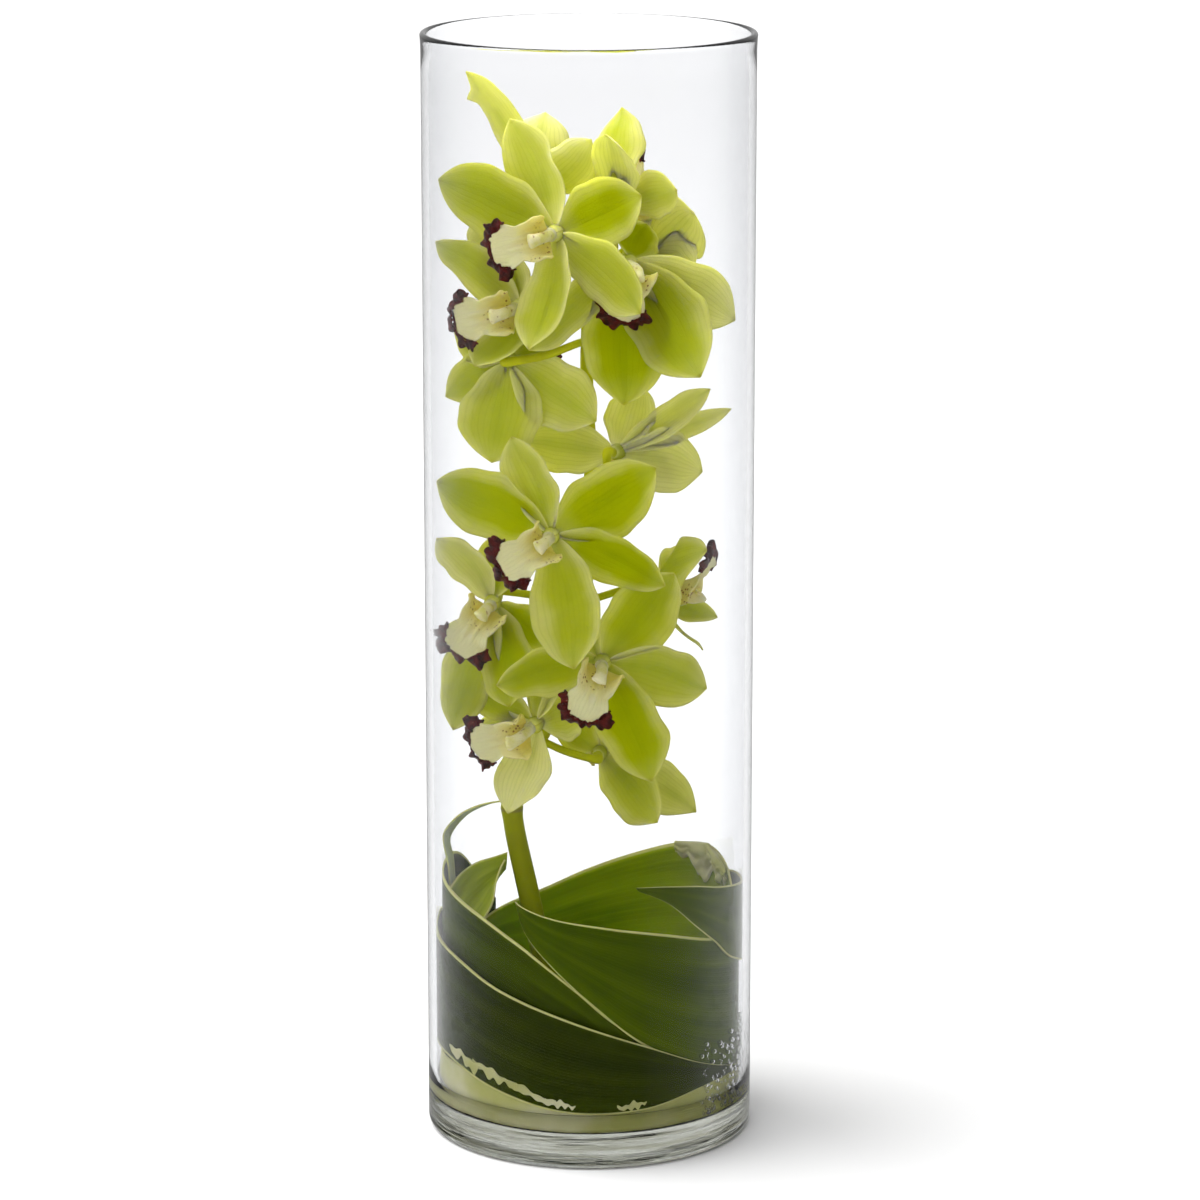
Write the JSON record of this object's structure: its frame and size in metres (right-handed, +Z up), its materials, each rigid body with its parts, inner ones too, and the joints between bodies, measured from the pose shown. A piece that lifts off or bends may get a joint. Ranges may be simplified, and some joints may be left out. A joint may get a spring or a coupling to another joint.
{
  "type": "cymbidium orchid stem",
  "caption": "Cut cymbidium orchid stem with yellow-green blooms and burgundy-edged lips, standing in a tall clear glass cylinder with broad leaves wound round its foot",
  "frame": {"origin": "middle of the vase's underside, on the surface that it stands on", "axes": "+Z up along the vase's axis, -Y to the front as pictured, +X to the right seen from the front"},
  "size_m": [0.15, 0.15, 0.508],
  "materials": {
    "glass": "clear polished glass",
    "water": "clear water",
    "stem": "green plant stalk, satin",
    "tepal": "yellow-green petal tissue, thin and lightly translucent",
    "lip": "cream petal tissue, soft satin",
    "margin": "dark burgundy petal tissue, velvety",
    "leaf": "broad green leaf with a waxy sheen"
  },
  "bodies": {
    "root": {"vase": "glass", "water": "water", "stem": "stem", "leaf_low": "leaf", "leaf_mid": "leaf", "leaf_wide": "leaf", "leaf_right": "leaf", "leaf_back": "leaf", "leaf_loop": "leaf", "leaf_curl": "leaf", "bloom_a_tepals": "tepal", "bloom_a_lip": "lip", "bloom_a_lip_margin": "margin", "bloom_b_tepals": "tepal", "bloom_b_lip": "lip", "bloom_b_lip_margin": "margin", "bloom_c_tepals": "tepal", "bloom_c_lip": "lip", "bloom_c_lip_margin": "margin", "bloom_d_tepals": "tepal", "bloom_d_lip": "lip", "bloom_d_lip_margin": "margin", "bloom_e_tepals": "tepal", "bloom_e_lip": "lip", "bloom_e_lip_margin": "margin", "bloom_f_tepals": "tepal", "bloom_f_lip": "lip", "bloom_f_lip_margin": "margin", "bloom_g_tepals": "tepal", "bloom_g_lip": "lip", "bloom_g_lip_margin": "margin", "bloom_h_tepals": "tepal", "bloom_h_lip": "lip", "bloom_h_lip_margin": "margin", "bloom_i_tepals": "tepal", "bloom_i_lip": "lip", "bloom_i_lip_margin": "margin", "bloom_j_tepals": "tepal", "bloom_j_lip": "lip", "bloom_j_lip_margin": "margin", "bloom_k_tepals": "tepal", "bloom_k_lip": "lip", "bloom_k_lip_margin": "margin", "bloom_l_tepals": "tepal", "bloom_l_lip": "lip", "bloom_l_lip_margin": "margin", "bloom_m_tepals": "tepal", "bloom_m_lip": "lip", "bloom_m_lip_margin": "margin", "bloom_n_tepals": "tepal", "bloom_n_lip": "lip", "bloom_n_lip_margin": "margin"}
  },
  "joints": []
}
